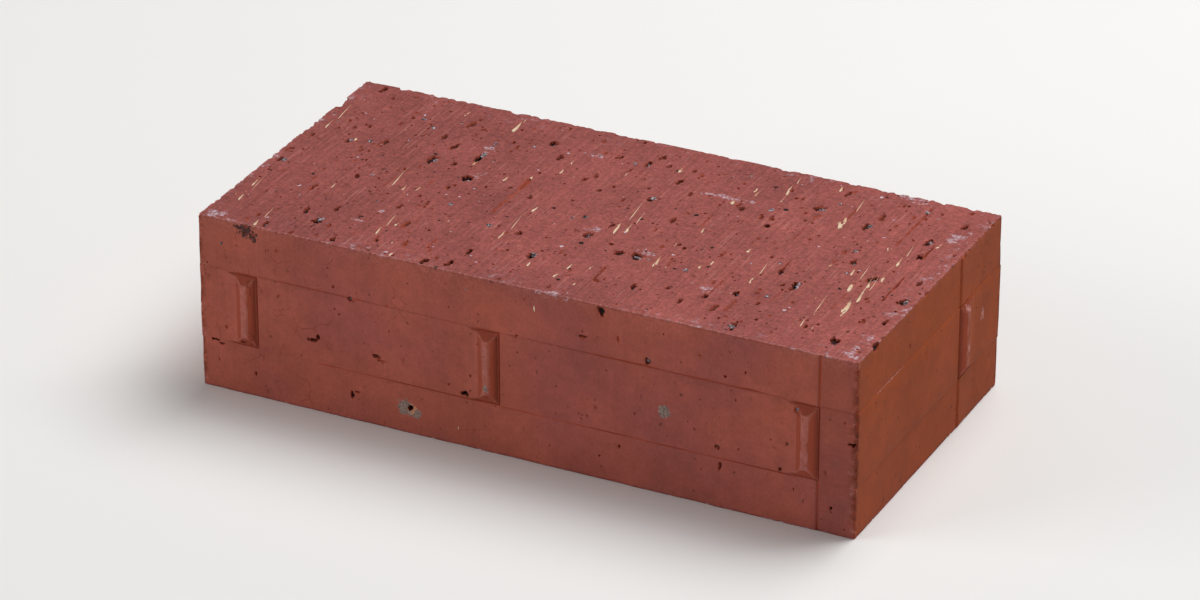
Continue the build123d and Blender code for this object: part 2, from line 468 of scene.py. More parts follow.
def lug_hips(up, size):
    """Heights at which the hipped ends cut a lug off, at these levels above the bed."""
    half = size.lug_length / 2
    return np.interp(np.abs(up - size.thickness / 2), (half - size.lug_hip, half), (size.lug_height, 0))


def rib_heights(along, foot, towards, size):
    """Heights of the flattened rib in line with a lug, over the rolled faces."""
    runs = (0, size.rib_steep_run, lug_runs(size)[-1])
    rise = np.interp((along - foot) * towards, runs, (0, size.rib_height, 0))
    return rise - size.press_depth


def side_heights(along, up, lugs, lines, holes, size, seed):
    """Heights of a side with its band, lugs and flattened ribs, and depths of its lines and pinholes."""
    place_a = along[:, None]
    place_z = up[None, :]
    from_middle = up - size.thickness / 2
    off_band = np.abs(from_middle) - size.band_height / 2
    field = np.tile(np.interp(off_band, (-size.press_depth, 0), (0, -size.press_depth)), (len(along), 1))
    depths = np.zeros_like(field)
    broken = np.clip(0.75 + 0.55 * wander(place_a, place_z, 9, 20, seed), 0, 1)
    for edge, start, end, depth in lines:
        line = np.clip(1.2 - np.abs(edge * from_middle - size.band_height / 2 - 0.1) / 0.25, 0, 1)
        shown = np.clip((along - start) / 6, 0, 1) * np.clip((end - along) / 6, 0, 1)
        depths = np.maximum(depths, depth * shown[:, None] * broken * line[None, :])
    raised = np.zeros_like(field)
    lug_width = lug_runs(size)[-1]
    lug_span = np.abs(from_middle) < size.lug_length / 2 + PAST_HIP
    for foot, towards, ribbed in lugs:
        inward = (along - foot) * towards
        if ribbed:
            field = np.maximum(field, rib_heights(along, foot, towards, size)[:, None])
            scored = np.clip(1.2 - np.abs(inward + 0.1) / 0.45, 0, 1)
            uneven = 0.12 + 0.06 * wander(place_a * 0, place_z, 1.0, 7, seed + 4)
            depths = np.maximum(depths, scored[:, None] * uneven)
        beside = (inward > -PAST_FOOT) * np.clip((lug_width - inward) / 4, 0, 1)
        depths = np.maximum(depths, 0.42 * np.outer(beside, lug_span))
        raised = np.maximum(raised, np.minimum.outer(lug_section(inward, size), lug_hips(up, size)))
    crests = raised > 0.9 * size.lug_height
    chipped = 0.16 * wander(place_a, place_z, 1.2, 1.6, seed + 5) - 0.16
    field = np.where(raised > 0, np.maximum(field, raised + chipped * crests), field)
    depths = np.where(raised > 0.03, 0, depths)
    field = field + 0.045 * wander(place_a, place_z, 24, 24, seed + 1) - 0.05
    field = field + 0.005 * wander(place_a, place_z, 1.6, 30, seed + 2)
    picks = np.random.default_rng(seed + 3)
    for hole in range(holes):
        middle = random_place(picks, along, up, 2)
        across = pit_half(picks)
        half = (across, across * picks.uniform(0.8, 1.6))
        dent(depths, along, up, middle, half, picks.uniform(0.2, 0.5), seed + 10 + hole)
    return field, depths


def front_marks(depths, along, up, seed):
    """Adds to the front face the holes that its grains left, its pins and its short cracks."""
    for number, (x, z, width) in enumerate(IRON_IN_FRONT):
        dent(depths, along, up, (x, z), (0.55 * width, 0.55 * width), 0.6, seed + number)
    x, z, half, depth = FRONT_HOLE
    dent(depths, along, up, (x, z), (half, half), depth, seed + 20)
    for number, (x, z, half_x, half_z, depth) in enumerate(FRONT_CRACKS):
        dent(depths, along, up, (x, z), (half_x, half_z), depth, seed + 30 + number)


def bite(points, middle, reach, block, seed):
    """Breaks a chip from an edge: pushes the points in a ragged ball to its skin, inside the block."""
    middle = np.array(middle)
    reach = np.array(reach)
    near = np.flatnonzero(np.all(np.abs(points - middle) < 1.4 * reach, axis=1))
    away = (points[near] - middle) / reach
    slant = 0.7 * points[near, 2]
    ragged = wander(points[near, 0] + slant, points[near, 1] - slant, 0.9, 0.9, seed)
    out = np.maximum(np.linalg.norm(away, axis=1) / (1 + 0.35 * ragged), 0.001)
    inside = out < 1
    old = points[near[inside]]
    pushed = np.clip(middle + away[inside] / out[inside, None] * reach, *block)
    above = old[:, 2] > block[1][2] / 2
    pushed[:, 2] = np.where(above, np.minimum(pushed[:, 2], old[:, 2]), np.maximum(pushed[:, 2], old[:, 2]))
    points[near[inside]] = pushed


def chip_edges(points, size, seed):
    """Chips the edges of the body: the placed chips, and small crumbs along every edge."""
    block = np.array((
        (-size.body_length / 2, -size.body_width / 2, 0),
        (size.body_length / 2, size.body_width / 2, size.thickness),
    ))
    for number, chip in enumerate(EDGE_CHIPS):
        bite(points, chip[:3], chip[3:], block, seed + number)
    half_x = size.body_length / 2 - size.press_depth
    half_y = size.body_width / 2 - size.press_depth
    top = size.thickness
    # Both ends of each edge, the number of its crumbs, and their least and most radius
    edges = (
        ((-half_x, half_y, top), (half_x, half_y, top), 230, 0.5, 1.4),
        ((half_x, -half_y, top), (half_x, half_y, top), 110, 0.4, 1.2),
        ((-half_x, -half_y, top), (-half_x, half_y, top), 90, 0.4, 1.3),
        ((-half_x, -half_y, top), (half_x, -half_y, top), 60, 0.3, 0.7),
        ((half_x, -half_y, 0), (half_x, -half_y, top), 60, 0.35, 1.0),
        ((half_x, half_y, 0), (half_x, half_y, top), 20, 0.3, 0.8),
        ((-half_x, -half_y, 0), (-half_x, -half_y, top), 20, 0.3, 0.8),
        ((-half_x, half_y, 0), (-half_x, half_y, top), 20, 0.3, 0.8),
        ((-half_x, half_y, 0), (half_x, half_y, 0), 60, 0.4, 0.9),
        ((-half_x, -half_y, 0), (half_x, -half_y, 0), 50, 0.3, 0.8),
        ((half_x, -half_y, 0), (half_x, half_y, 0), 30, 0.4, 0.8),
        ((-half_x, -half_y, 0), (-half_x, half_y, 0), 30, 0.4, 0.8),
    )
    picks = np.random.default_rng(seed + 50)
    centre = np.array((0, 0, top / 2))
    for start, end, count, least, most in edges:
        start = np.array(start, dtype=float)
        run = np.array(end) - start
        for crumb in range(count):
            middle = start + run * picks.random()
            outward = np.where(run == 0, np.sign(middle - centre), 0)
            radius = least + (most - least) * picks.random() ** 2
            reach = np.where(run == 0, radius, radius * picks.uniform(1.0, 2.0))
            middle = middle + outward * radius * picks.uniform(0.2, 0.7)
            bite(points, middle, reach, block, seed + 100 + crumb)


def dense_paver(size, grains):
    """Points in millimetres and four-sided faces of the paver, on a grid that can hold its pits and chips."""
    half_x = size.body_length / 2
    half_y = size.body_width / 2
    feet = steep_feet(size)
    runs = np.append(-PAST_FOOT, lug_runs(size))
    front_creases = np.subtract.outer(feet, runs).ravel()
    long_creases = np.append(front_creases, -front_creases)
    end_creases = np.add.outer((size.end_lug_offset, -size.end_lug_offset), runs).ravel()
    xs = grid_lines(-half_x, half_x, CUT_STEP, (-feet[-1], feet[-1]), long_creases)
    ys = grid_lines(-half_y, half_y, CUT_STEP, (-size.end_lug_offset, size.end_lug_offset), end_creases)
    middle_z = size.thickness / 2
    half_lug = size.lug_length / 2
    levels = np.array((half_lug + PAST_HIP, half_lug, half_lug - size.lug_hip))
    level_creases = np.append(middle_z - levels, middle_z + levels)
    band = size.band_height / 2
    zs = grid_lines(0, size.thickness, UP_STEP, (middle_z - band, middle_z + band), level_creases)
    places, faces = box_shell((len(xs) - 1, len(ys) - 1, len(zs) - 1))
    i, j, k = places.T
    points = np.stack((xs[i], ys[j], zs[k]), axis=1)

    seed = grains.seed
    half = np.array((half_x, half_y, size.thickness / 2))
    middle = np.array((0, 0, size.thickness / 2))
    radius = size.edge_radius * (1 + 0.35 * wander(points[:, 0], points[:, 1] + points[:, 2], 6, 6, seed))
    core = np.clip(points - middle, -(half - radius[:, None]), half - radius[:, None])
    out = points - middle - core
    points = middle + core + out / np.linalg.norm(out, axis=1)[:, None] * radius[:, None]

    front_lugs = [(foot, -1, ribbed) for foot, ribbed in zip(feet, (False, False, True))]
    back_lugs = [(-foot, -towards, ribbed) for foot, towards, ribbed in front_lugs]
    right_lug = [(size.end_lug_offset, 1, True)]
    left_lug = [(-size.end_lug_offset, 1, True)]
    back_lines = [(edge, -end, -start, depth) for edge, start, end, depth in FRONT_LINES]
    front, front_depths = side_heights(xs, zs, front_lugs, FRONT_LINES, grains.pinholes, size, seed + 2000)
    front_marks(front_depths, xs, zs, seed + 2900)
    front = front - front_depths
    back = np.subtract(*side_heights(xs, zs, back_lugs, back_lines, grains.pinholes, size, seed + 3000))
    right = np.subtract(*side_heights(ys, zs, right_lug, (), grains.end_pinholes, size, seed + 4000))
    left = np.subtract(*side_heights(ys, zs, left_lug, (), grains.end_pinholes, size, seed + 5000))
    top = wire_cut_heights(xs, ys, grains, seed + 6000, True)
    bottom = wire_cut_heights(xs, ys, grains, seed + 8000, False)
    sides = (
        (0, i == len(xs) - 1, right[j, k], 1), (0, i == 0, left[j, k], -1),
        (1, j == len(ys) - 1, back[i, k], 1), (1, j == 0, front[i, k], -1),
        (2, k == len(zs) - 1, top[i, j], 1), (2, k == 0, bottom[i, j], -1),
    )
    for axis, on_face, heights, outward in sides:
        points[on_face, axis] += outward * heights[on_face]
    chip_edges(points, size, seed + 9000)
    return points, faces


def mesh_of(name, points, faces):
    """A mesh of four-sided faces, with its points given in millimetres."""
    mesh = bpy.data.meshes.new(name)
    mesh.vertices.add(len(points))
    mesh.vertices.foreach_set("co", (points * MM).astype(np.float32).ravel())
    mesh.loops.add(faces.size)
    mesh.loops.foreach_set("vertex_index", faces.astype(np.int32).ravel())
    mesh.polygons.add(len(faces))
    mesh.polygons.foreach_set("loop_start", np.arange(0, faces.size, 4, dtype=np.int32))
    mesh.update(calc_edges=True)
    return mesh


def read_vectors(items, name):
    """A vector of each of a mesh's points or faces, one in each row."""
    values = np.empty(3 * len(items), dtype=np.float32)
    items.foreach_get(name, values)
    return values.reshape(-1, 3)


def applied(obj, name):
    """The plain mesh that an object's modifiers make, in place of the object."""
    bpy.context.view_layer.update()
    mesh = bpy.data.meshes.new_from_object(obj.evaluated_get(bpy.context.evaluated_depsgraph_get()))
    mesh.name = name
    bpy.data.objects.remove(obj)
    return mesh


def linked(name, mesh):
    """A new object at the origin with this mesh."""
    obj = bpy.data.objects.new(name, mesh)
    bpy.context.scene.collection.objects.link(obj)
    return obj


def point_masks(points, size):
    """How far each point of the clay is on a cut face, on an end, in a hollow, by an edge or up a lug.

    Section and hips are the heights of the lugs' section and of their hipped ends there, in lug heights. The
    left end takes less of the ends' orange-brown than the right one, and more salts lie by the right end's
    edges.
    """
    left_end_share = 0.6
    right_salts = 2.4
    x, y, z = np.abs(points[:, 0]), np.abs(points[:, 1]), points[:, 2]
    from_top = size.thickness - z
    from_cut = np.minimum(from_top, z)
    from_end = size.body_length / 2 - x
    from_long = size.body_width / 2 - y
    from_side = np.minimum(from_end, from_long)
    wire_cut = np.clip(0.5 + (from_side - from_cut) / 0.5, 0, 1)
    cut_hollow = np.clip((from_cut - 0.36) / 0.9, 0, 1)
    side_hollow = np.clip((from_side - size.press_depth - 0.12) / 0.8, 0, 1)
    from_edge = np.hypot(np.maximum(from_cut, 0), np.maximum(from_side, 0))
    worn = np.clip(1.1 - from_edge / 1.1, 0, 1) * np.where(from_top < z, 1.0, 0.35) * (0.35 + 0.65 * wire_cut)
    on_right = points[:, 0] > 0
    right_end = on_right & (from_end < from_long)
    along = -np.sign(points[:, 1]) * points[:, 0]
    sections = [lug_section(foot - along, size) for foot in steep_feet(size)]
    end_section = lug_section(points[:, 1] - np.sign(points[:, 0]) * size.end_lug_offset, size)
    return {
        "wire_cut": wire_cut,
        "end_face": np.clip(0.5 + (from_long - from_end) / 0.5, 0, 1) * np.where(on_right, 1, left_end_share),
        "section": np.where(from_end < from_long, end_section, np.max(sections, axis=0)) / size.lug_height,
        "hips": lug_hips(z, size) / size.lug_height,
        "hollow": np.where(wire_cut > 0.5, cut_hollow, side_hollow),
        "worn": worn,
        "near_edge": np.clip(1 - from_side / 7, 0, 1) * wire_cut * np.where(right_end, right_salts, 1),
        "corner": np.clip(1.6 - np.hypot(np.maximum(from_end, 0), np.maximum(from_long, 0)) / 1.4, 0, 1),
        "proud": np.clip(-from_side / size.lug_height, 0, 1),
    }


def face_masks(centres, normals, size):
    """Which faces of the clay are a lug's slopes, its steep side, or beyond the rib line of a long face."""
    x, y, z = centres.T
    from_end = size.body_length / 2 - np.abs(x)
    from_long = size.body_width / 2 - np.abs(y)
    on_end = from_end < from_long
    steepness = np.where(on_end, -normals[:, 1], -np.sign(y) * normals[:, 0])
    sloping = np.hypot(steepness, normals[:, 2]) > 0.25
    slope = sloping & (np.minimum(from_end, from_long) < -0.06)
    rib_line = steep_feet(size)[-1]
    beyond = ~on_end & (-np.sign(y) * x > rib_line) & (from_long < np.minimum(z, size.thickness - z))
    return {"slope": slope, "steep": slope & (steepness > 0.3), "beyond": beyond}


def lay_bake_charts(mesh, points, size):
    """Lays the six faces side by side in one UV map, each seen square on."""
    half_x, half_y, thickness = size.body_length / 2, size.body_width / 2, size.thickness
    count = len(mesh.loops)
    corner = np.empty(count, dtype=np.int32)
    mesh.loops.foreach_get("vertex_index", corner)
    totals = np.empty(len(mesh.polygons), dtype=np.int32)
    mesh.polygons.foreach_get("loop_total", totals)
    x, y, z = read_vectors(mesh.polygons, "center").T / MM
    depths = np.stack((half_x - x, half_x + x, half_y - y, half_y + y, thickness - z, z))
    face = np.repeat(np.argmin(depths, axis=0), totals)
    gap = 4
    row = size.body_length + gap
    strip = size.body_width + gap
    narrow = thickness + gap
    # For each face: the axes that run along U and V, and where its chart starts
    charts = (
        (1, 2, 0, row),
        (1, 2, strip, row),
        (2, 0, 2 * strip, 0),
        (2, 0, 2 * strip + narrow, 0),
        (1, 0, 0, 0),
        (1, 0, strip, 0),
    )
    lowest = np.array((-half_x, -half_y, 0))
    full = np.array((2 * (strip + narrow), row + narrow))
    uv = np.empty((count, 2), dtype=np.float32)
    for number, (axis_u, axis_v, start_u, start_v) in enumerate(charts):
        mine = face == number
        spot = points[corner[mine]] - lowest
        uv[mine, 0] = (start_u + gap / 2 + spot[:, axis_u]) / full[0]
        uv[mine, 1] = (start_v + gap / 2 + spot[:, axis_v]) / full[1]
    mesh.uv_layers.new(name="OFBake").data.foreach_set("uv", uv.ravel())


def add(tree, kind, inputs=None, out=0, **settings):
    """Adds a node with its settings, fills or links its inputs, and gives one output, or all for None."""
    node = tree.nodes.new(kind)
    for name, value in settings.items():
        setattr(node, name, value)
    for key, value in (inputs or {}).items():
        if isinstance(value, bpy.types.NodeSocket):
            tree.links.new(value, node.inputs[key])
        else:
            node.inputs[key].default_value = value
    return node.outputs if out is None else node.outputs[out]


def cells(millimetres_wide):
    """Texture scale that gives a pattern of this size on coordinates in metres."""
    return 1 / (millimetres_wide * MM)


def new_material(name):
    """A material and its surface node."""
    material = bpy.data.materials.new(name)
    material.use_nodes = True
    return material, material.node_tree.nodes["Principled BSDF"]


def shaken(tree, place, cell, detail, reach):
    """Coordinates shaken by a noise, with its cells and its reach in millimetres."""
    inputs = {"Vector": place, "Scale": cells(cell), "Detail": detail}
    noise = add(tree, "ShaderNodeTexNoise", inputs, out="Color")
    noise = add(tree, "ShaderNodeVectorMath", {0: noise, "Scale": reach * MM}, operation="SCALE")
    return add(tree, "ShaderNodeVectorMath", {0: place, 1: noise}, operation="ADD")


def patch(tree, place, middle, reach, ragged):
    """A ragged patch round a point, 1 inside it and 0 outside. Middle and reach are in millimetres."""
    away = add(tree, "ShaderNodeVectorMath", {0: place, 1: Vector(middle) * MM}, operation="SUBTRACT")
    away = add(tree, "ShaderNodeVectorMath", {0: away, 1: Vector(reach) * MM}, operation="DIVIDE")
    out = add(tree, "ShaderNodeVectorMath", {0: away}, out="Value", operation="LENGTH")
    out = add(tree, "ShaderNodeMath", {0: out, 1: ragged}, operation="ADD")
    return add(tree, "ShaderNodeMapRange", {"Value": out, 1: 0.8, 2: 1.05, 3: 1.0, 4: 0.0})


def fired_clay(colours):
    """Unglazed red clay, extruded, cut by a wire and fired.

    It is matt and gritty. The wire drags grains along the cut faces and leaves fine lines there. The die
    leaves the long faces smoother, and the ends are orange-brown. Painted shade makes the top darker towards
    its left end, darkens the hollows the more the deeper they are, and darkens the lugs' slopes, which are
    also a darker red, most on the hips and at the foot of the steep sides. Rubbed edges are pale, and the
    lugs' crests and hip ridges are pale with wear and with painted highlight.
    """
    material, surface = new_material("fired_red_clay_wire_cut")
    tree = material.node_tree
    place = add(tree, "ShaderNodeTexCoord", out="Object")
    masks = {}
    for name in (
        "wire_cut", "end_face", "section", "hips", "hollow", "worn", "near_edge", "corner", "proud",
        "slope", "steep", "beyond",
    ):
        masks[name] = add(tree, "ShaderNodeAttribute", out="Fac", attribute_name=name)

    cloud = add(tree, "ShaderNodeTexNoise", {"Vector": place, "Scale": cells(26), "Detail": 3.0})
    mottle = add(tree, "ShaderNodeTexNoise", {"Vector": place, "Scale": cells(4.5), "Detail": 3.0})
    grit = add(
        tree, "ShaderNodeTexNoise", {"Vector": place, "Scale": cells(0.9), "Detail": 3.0, "Roughness": 0.65}
    )
    smoothed = add(tree, "ShaderNodeMapRange", {"Value": grit, 1: 0.3, 2: 0.7, 3: 0.42, 4: 0.58})
    speckle = add(tree, "ShaderNodeTexNoise", {"Vector": place, "Scale": cells(2.0), "Detail": 2.0})
    speckle = add(tree, "ShaderNodeMix", {0: masks["wire_cut"], 2: 0.5, 3: speckle})
    grain = add(tree, "ShaderNodeMix", {0: masks["wire_cut"], 2: smoothed, 3: grit})
    wire = add(tree, "ShaderNodeMapping", {"Vector": place, "Scale": (cells(1.0), cells(26), cells(1.0))})
    drag = add(tree, "ShaderNodeTexNoise", {"Vector": wire, "Scale": 1.0, "Detail": 3.0, "Roughness": 0.6})
    short = add(tree, "ShaderNodeMapping", {"Vector": place, "Scale": (cells(0.5), cells(12), cells(0.5))})
    smear = add(tree, "ShaderNodeTexNoise", {"Vector": short, "Scale": 1.0, "Detail": 2.0})
    die = add(tree, "ShaderNodeMapping", {"Vector": place, "Scale": (cells(1.2), cells(1.2), cells(50))})
    die_lines = add(tree, "ShaderNodeTexNoise", {"Vector": die, "Scale": 1.0, "Detail": 2.0})
    die_lines = add(tree, "ShaderNodeMapRange", {"Value": die_lines, 1: 0.3, 2: 0.7, 3: 0.46, 4: 0.54})
    crumbly = add(
        tree, "ShaderNodeTexNoise", {"Vector": place, "Scale": cells(3), "Detail": 5.0, "Roughness": 0.75}
    )

    flush = add(tree, "ShaderNodeTexNoise", {"Vector": place, "Scale": cells(38), "Detail": 4.0})
    flush = add(tree, "ShaderNodeMapRange", {"Value": flush, 1: 0.42, 2: 0.68, 3: 0.0, 4: 0.8})
    off_ends = add(tree, "ShaderNodeMapRange", {"Value": masks["end_face"], 3: 1.0, 4: 0.15})
    flush = add(tree, "ShaderNodeMath", {0: flush, 1: off_ends}, operation="MULTIPLY")
    clay = colours.die_skin
    skins = (
        (masks["end_face"], colours.end_skin),
        (masks["wire_cut"], colours.wire_cut),
        (flush, colours.flushed),
    )
    for share, tint in skins:
        clay = add(tree, "ShaderNodeMix", {0: share, 6: clay, 7: tint}, out=2, data_type="RGBA")
    lines = add(tree, "ShaderNodeMix", {0: masks["wire_cut"], 2: die_lines, 3: drag})
    along = add(tree, "ShaderNodeSeparateXYZ", {0: place}, out="X")
    # Painted shade: the top is darker towards its left end and lighter towards its right end
    shaded = add(tree, "ShaderNodeMapRange", {"Value": along, 1: -100 * MM, 2: 100 * MM, 3: 0.3, 4: 0.7})
    shaded = add(tree, "ShaderNodeMix", {0: masks["wire_cut"], 2: 0.5, 3: shaded})
    beyond = add(tree, "ShaderNodeMapRange", {"Value": masks["beyond"], 3: 0.7, 4: 0.3})
    for pattern, low, high in (
        (cloud, 0.90, 1.10), (mottle, 0.92, 1.08), (speckle, 0.89, 1.11), (grain, 0.70, 1.30),
        (lines, 0.89, 1.11), (shaded, 0.90, 1.05), (beyond, 0.86, 1.0),
    ):
        tone = add(tree, "ShaderNodeMapRange", {"Value": pattern, 1: 0.3, 2: 0.7, 3: low, 4: high})
        clay = add(tree, "ShaderNodeVectorMath", {0: clay, "Scale": tone}, operation="SCALE")

    # Layers over the clay, each with its share and its colour, from the lowest to the topmost
    layers = []

    # Pale lines that the wire drew out of soft grains, in loose groups
    pale = add(tree, "ShaderNodeMapRange", {"Value": smear, 1: 0.59, 2: 0.75, 3: 0.0, 4: 0.65})
    grouped = add(tree, "ShaderNodeTexNoise", {"Vector": place, "Scale": cells(14), "Detail": 1.0})
    grouped = add(tree, "ShaderNodeMapRange", {"Value": grouped, 1: 0.42, 2: 0.62})
    for share in (grouped, masks["wire_cut"]):
        pale = add(tree, "ShaderNodeMath", {0: pale, 1: share}, operation="MULTIPLY")
    layers.append((pale, colours.worn))

    # Broken upright corners, dark in their chips and pale where they rubbed
    upright = add(tree, "ShaderNodeMapRange", {"Value": masks["wire_cut"], 3: 1.0, 4: 0.0})
    corner = add(tree, "ShaderNodeMath", {0: masks["corner"], 1: upright}, operation="MULTIPLY")
    for first, last, strength, tint in ((0.46, 0.54, 0.9, colours.hollow), (0.42, 0.34, 0.8, colours.worn)):
        share = add(tree, "ShaderNodeMapRange", {"Value": crumbly, 1: first, 2: last, 3: 0.0, 4: strength})
        share = add(tree, "ShaderNodeMath", {0: share, 1: corner}, operation="MULTIPLY")
        layers.append((share, tint))

    # Darker red on the lugs' slopes, partly the clay's colour and partly painted shade. Painted shade makes
    # the hips and back slopes darker still, and the foot of the steep side darkest
    fresh_clay_and_shade = add(tree, "ShaderNodeMapRange", {"Value": masks["slope"], 3: 0.0, 4: 0.85})
    layers.append((fresh_clay_and_shade, colours.fresh_clay_and_shade))
    # Painted shade on the hips and back slopes
    slope_shade = add(tree, "ShaderNodeMath", {0: masks["slope"], 1: masks["steep"]}, operation="SUBTRACT")
    slope_shade = add(tree, "ShaderNodeMapRange", {"Value": slope_shade, 3: 0.0, 4: 0.5})
    layers.append((slope_shade, colours.hollow))
    # Painted shade at the foot of the steep side
    foot = add(tree, "ShaderNodeMapRange", {"Value": masks["proud"], 1: 0.0, 2: 0.5, 3: 0.9, 4: 0.0})
    foot = add(tree, "ShaderNodeMath", {0: foot, 1: masks["steep"]}, operation="MULTIPLY")
    layers.append((foot, colours.hollow))

    # Dark and pale specks of the clay's own grains, coarse on the cut faces only
    loosened = shaken(tree, place, 0.9, 2.0, 1.6)
    fewer = add(tree, "ShaderNodeMapRange", {"Value": masks["wire_cut"], 3: 0.45, 4: 0.95})
    cut = masks["wire_cut"]
    fine = (
        (0.45, 0.85, 0.2, fewer, colours.hollow),
        (0.85, 1.0, 0.26, fewer, colours.deep),
        (0.08, 0.0, 0.22, cut, colours.salts_and_glints),
    )
    coarse = (
        (0.55, 0.8, 0.15, cut, colours.hollow),
        (0.8, 1.0, 0.22, cut, colours.deep),
        (0.1, 0.0, 0.16, cut, colours.salts_and_glints),
    )
    for cell, kinds in ((2.0, fine), (4.2, coarse)):
        speck = add(tree, "ShaderNodeTexVoronoi", {"Vector": loosened, "Scale": cells(cell)}, out=None)
        chosen = add(tree, "ShaderNodeSeparateColor", {0: speck["Color"]})
        for first, last, most, strength, tint in kinds:
            reach = add(tree, "ShaderNodeMapRange", {"Value": chosen, 1: first, 2: last, 3: 0.0, 4: most})
            spot = add(tree, "ShaderNodeMath", {0: reach, 1: speck["Distance"]}, operation="SUBTRACT")
            spot = add(tree, "ShaderNodeMapRange", {"Value": spot, 1: 0.0, 2: 0.05, 3: 0.0, 4: strength})
            layers.append((spot, tint))

    # Rubbed edges; pale crests and hip ridges of the lugs, partly wear and partly painted highlight; and
    # salts along the cut edges
    fold = add(tree, "ShaderNodeMath", {0: masks["section"], 1: masks["hips"]}, operation="SUBTRACT")
    fold = add(tree, "ShaderNodeMath", {0: fold}, operation="ABSOLUTE")
    ridge_wear_and_highlight = add(tree, "ShaderNodeMapRange", {"Value": fold, 1: 0.06, 2: 0.2, 3: 0.4, 4: 0.0})
    raised = add(tree, "ShaderNodeMapRange", {"Value": masks["proud"], 1: 0.1, 2: 0.3})
    patchy = add(tree, "ShaderNodeMapRange", {"Value": crumbly, 1: 0.38, 2: 0.62, 3: 0.2, 4: 0.9})
    for share in (raised, patchy):
        ridge_wear_and_highlight = add(tree, "ShaderNodeMath", {0: ridge_wear_and_highlight, 1: share}, operation="MULTIPLY")
    rubbed = add(tree, "ShaderNodeMapRange", {"Value": grit, 1: 0.42, 2: 0.6, 3: 0.0, 4: 0.85})
    rubbed = add(tree, "ShaderNodeMath", {0: rubbed, 1: masks["worn"]}, operation="MULTIPLY")
    rubbed = add(tree, "ShaderNodeMath", {0: rubbed, 1: ridge_wear_and_highlight}, operation="MAXIMUM")
    layers.append((rubbed, colours.worn))
    salts = add(tree, "ShaderNodeMapRange", {"Value": crumbly, 1: 0.54, 2: 0.66, 3: 0.0, 4: 0.75})
    for share in (masks["near_edge"], grouped):
        salts = add(tree, "ShaderNodeMath", {0: salts, 1: share}, operation="MULTIPLY")
    layers.append((salts, colours.salts_and_glints))

    # Stains are ragged and speckled, and smears of salts lie in streaks
    firm = add(tree, "ShaderNodeMapRange", {"Value": grit, 1: 0.35, 2: 0.65, 3: -0.5, 4: 0.5})
    loose = add(tree, "ShaderNodeMapRange", {"Value": crumbly, 1: 0.65, 2: 0.4, 3: -0.4, 4: 1.1})
    streaks = add(tree, "ShaderNodeMapRange", {"Value": grit, 1: 0.42, 2: 0.62, 3: 0.15, 4: 0.75})
    sandy = add(tree, "ShaderNodeTexNoise", {"Vector": place, "Scale": cells(0.6), "Detail": 2.0})
    sandy = add(tree, "ShaderNodeMapRange", {"Value": sandy, 1: 0.35, 2: 0.65, 3: 0.5, 4: 1.35})
    round_edge = add(tree, "ShaderNodeMath", {0: firm, 1: 0.45}, operation="MULTIPLY")
    manners = {"salts_and_glints": (loose, streaks, 1.0), "ash": (round_edge, 0.9, sandy)}
    for name, middle, reach in STAINS:
        ragged, strength, tone = manners.get(name, (firm, 0.85, sandy))
        share = patch(tree, place, middle, reach, ragged)
        share = add(tree, "ShaderNodeMath", {0: share, 1: strength}, operation="MULTIPLY")
        tint = getattr(colours, name)[:3]
        tint = add(tree, "ShaderNodeVectorMath", {0: tint, "Scale": tone}, operation="SCALE")
        layers.append((share, tint))

    # Hairline cracks of the drying clay, in the left half of the long faces
    bent = shaken(tree, place, 5, 3.0, 5)
    crack = add(
        tree, "ShaderNodeTexVoronoi", {"Vector": bent, "Scale": cells(13)},
        out="Distance", feature="DISTANCE_TO_EDGE"
    )
    crack = add(tree, "ShaderNodeMapRange", {"Value": crack, 1: 0.004, 2: 0.016, 3: 0.6, 4: 0.0})
    side = add(tree, "ShaderNodeMapRange", {"Value": along, 1: -20 * MM, 2: -45 * MM, 3: 0.0, 4: 1.0})
    here = add(tree, "ShaderNodeTexNoise", {"Vector": place, "Scale": cells(8), "Detail": 1.0})
    here = add(tree, "ShaderNodeMapRange", {"Value": here, 1: 0.52, 2: 0.6, 3: 0.0, 4: 1.0})
    for share in (here, side, upright):
        crack = add(tree, "ShaderNodeMath", {0: crack, 1: share}, operation="MULTIPLY")
    layers.append((crack, colours.hollow))

    # Painted shade in the hollows: darker the deeper they are, and near black at the bottom of deep holes
    for least, most, tint in (
        (0.0, 0.12, colours.fresh_clay_and_shade), (0.12, 0.38, colours.hollow), (0.38, 0.8, colours.deep),
    ):
        sunk = add(tree, "ShaderNodeMapRange", {"Value": masks["hollow"], 1: least, 2: most})
        layers.append((sunk, tint))
    for share, tint in layers:
        clay = add(tree, "ShaderNodeMix", {0: share, 6: clay, 7: tint}, out=2, data_type="RGBA")
    tree.links.new(clay, surface.inputs["Base Color"])

    rough = add(tree, "ShaderNodeMapRange", {"Value": grit, 1: 0.3, 2: 0.7, 3: 0.78, 4: 0.95})
    tree.links.new(rough, surface.inputs["Roughness"])
    surface.inputs["Specular IOR Level"].default_value = 0.3
    ridges = add(tree, "ShaderNodeMath", {0: lines, 1: masks["wire_cut"]}, operation="MULTIPLY")
    scored = add(tree, "ShaderNodeBump", {"Height": ridges, "Strength": 1.0, "Distance": 0.08 * MM})
    gritty = add(
        tree, "ShaderNodeBump", {"Height": grain, "Strength": 1.0, "Distance": 0.15 * MM, "Normal": scored}
    )
    tree.links.new(gritty, surface.inputs["Normal"])
    return material


